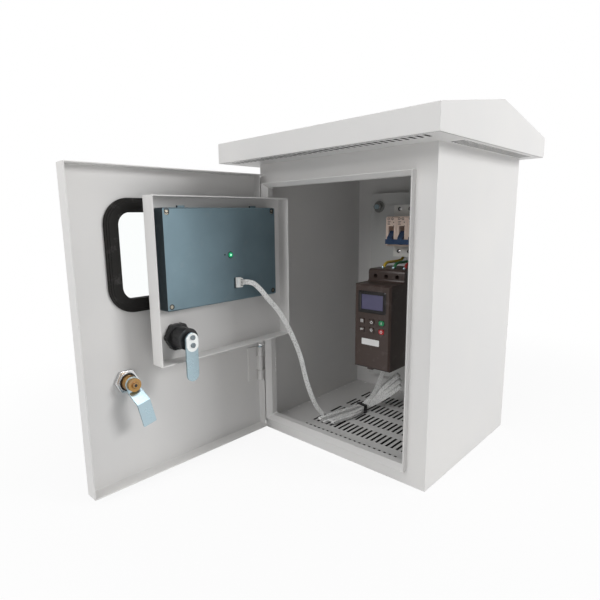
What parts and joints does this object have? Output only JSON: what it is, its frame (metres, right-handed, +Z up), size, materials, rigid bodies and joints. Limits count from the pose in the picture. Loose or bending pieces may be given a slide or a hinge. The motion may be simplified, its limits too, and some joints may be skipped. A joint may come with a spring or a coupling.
{
  "type": "soft starter cabinet",
  "caption": "Outdoor sheet-steel soft starter cabinet with a gable roof, windowed main door, inner door with operator panel, breaker and soft starter on a plate.",
  "frame": {"origin": "middle of the cabinet body's base rim", "axes": "+Z up, front with the doors towards -Y, +X to the right seen from the front"},
  "size_m": [0.324, 0.5446, 0.4525],
  "materials": {
    "cabinet_paint": "semi-matt pale grey powder paint",
    "zinc": "bright zinc plate",
    "lock_chrome": "bright plate",
    "brass": "plain brass",
    "trim_rubber": "black extruded rubber",
    "pane": "clear sheet",
    "black_plastic": "black moulding",
    "breaker_cream": "pinkish cream moulding",
    "switch_blue": "dark blue moulding",
    "starter_brown": "dark brown moulding",
    "keypad_dark": "dark membrane",
    "starter_glass": "dark display window",
    "key_green": "green key",
    "key_red": "red key",
    "panel_slate": "slate moulding",
    "panel_glass": "dark display",
    "lamp_green": "lit green lens",
    "socket_white": "white moulding",
    "ribbon": "pale grey flat cable",
    "wire_yellow": "yellow wire",
    "wire_green": "green wire",
    "wire_red": "red wire"
  },
  "bodies": {
    "cabinet": {"body_shell": "cabinet_paint", "front_frame": "cabinet_paint", "floor_plate": "cabinet_paint", "soffit_plate": "cabinet_paint", "roof_cap": "cabinet_paint", "mounting_plate": "cabinet_paint", "plate_standoffs": "zinc", "plate_nuts": "zinc", "din_rail": "zinc", "breaker_case": "breaker_cream", "phase_wire_yellow": "wire_yellow", "phase_wire_green": "wire_green", "phase_wire_red": "wire_red", "starter_case": "starter_brown", "starter_terminal_cover": "starter_brown", "starter_keypad": "keypad_dark", "starter_screen": "starter_glass", "door_hinge_upper_frame_leaf": "cabinet_paint", "door_hinge_lower_frame_leaf": "cabinet_paint", "door_hinge_pins": "zinc", "inner_hinge_upper_frame_leaf": "zinc", "inner_hinge_lower_frame_leaf": "zinc", "inner_hinge_pins": "zinc", "inner_lock_keeper": "cabinet_paint", "ribbon_run": "ribbon", "ribbon_hank": "ribbon", "cable_tie": "black_plastic", "ribbon_loops": "ribbon"},
    "main_door": {"door_panel": "cabinet_paint", "window_trim": "trim_rubber", "window_pane": "pane", "door_hinge_upper_door_leaf": "cabinet_paint", "door_hinge_lower_door_leaf": "cabinet_paint", "door_lock_housing": "lock_chrome", "door_lock_nut": "lock_chrome"},
    "door_lock": {"door_lock_core": "brass", "door_lock_cam": "zinc", "door_lock_screw": "brass"},
    "inner_door": {"inner_door_panel": "cabinet_paint", "inner_hinge_upper_door_leaf": "zinc", "inner_hinge_lower_door_leaf": "zinc", "hmi_housing": "panel_slate", "hmi_bezel": "panel_slate", "hmi_screen": "panel_glass", "hmi_screws": "zinc", "hmi_lamp": "lamp_green", "hmi_socket": "socket_white", "inner_lock_body": "black_plastic"},
    "inner_lock": {"inner_lock_spindle": "zinc", "inner_lock_blade": "zinc", "inner_lock_clamp": "zinc", "inner_lock_screws": "zinc"},
    "breaker_switch": {"breaker_toggle": "switch_blue"},
    "press_menu": {"key_menu": "keypad_dark"},
    "press_up": {"key_up": "keypad_dark"},
    "press_start": {"key_start": "key_green"},
    "press_back": {"key_back": "keypad_dark"},
    "press_down": {"key_down": "keypad_dark"},
    "press_stop": {"key_stop": "key_red"}
  },
  "joints": [
    {"name": "main_door_hinge", "type": "hinge", "parent": "cabinet", "child": "main_door", "pos_m": [-0.1323, -0.1362, 0.19625], "axis": [0, 0, -1], "range_deg": [-91, 4]},
    {"name": "inner_door_hinge", "type": "hinge", "parent": "cabinet", "child": "inner_door", "pos_m": [-0.1202, -0.1038, 0.2525], "axis": [0, 0, -1], "range_deg": [-90.01, 3.97], "deforming": ["ribbon_run"]},
    {"name": "door_lock_turn", "type": "hinge", "parent": "main_door", "child": "door_lock", "pos_m": [-0.12982, -0.34958, 0.133], "axis": [-0.9998, 0.0175, 0], "range_deg": [0, 90]},
    {"name": "inner_lock_turn", "type": "hinge", "parent": "inner_door", "child": "inner_lock", "pos_m": [-0.0964, -0.293, 0.183], "axis": [-1, 0, 0], "range_deg": [0, 90]},
    {"name": "breaker_throw", "type": "hinge", "parent": "cabinet", "child": "breaker_switch", "pos_m": [0.004, 0.042, 0.296], "axis": [-1, 0, 0], "range_deg": [0, 45]},
    {"name": "key_menu_press", "type": "slide", "parent": "cabinet", "child": "press_menu", "axis": [0, 1, 0], "range_m": [0, 0.0008], "stiffness_N_per_m": 500},
    {"name": "key_up_press", "type": "slide", "parent": "cabinet", "child": "press_up", "axis": [0, 1, 0], "range_m": [0, 0.0008], "stiffness_N_per_m": 500},
    {"name": "key_start_press", "type": "slide", "parent": "cabinet", "child": "press_start", "axis": [0, 1, 0], "range_m": [0, 0.0008], "stiffness_N_per_m": 500},
    {"name": "key_back_press", "type": "slide", "parent": "cabinet", "child": "press_back", "axis": [0, 1, 0], "range_m": [0, 0.0008], "stiffness_N_per_m": 500},
    {"name": "key_down_press", "type": "slide", "parent": "cabinet", "child": "press_down", "axis": [0, 1, 0], "range_m": [0, 0.0008], "stiffness_N_per_m": 500},
    {"name": "key_stop_press", "type": "slide", "parent": "cabinet", "child": "press_stop", "axis": [0, 1, 0], "range_m": [0, 0.0008], "stiffness_N_per_m": 500}
  ],
  "couplings": [
    {"joint": "inner_door_hinge", "follows": "main_door_hinge", "ratio": 0.98901}
  ]
}
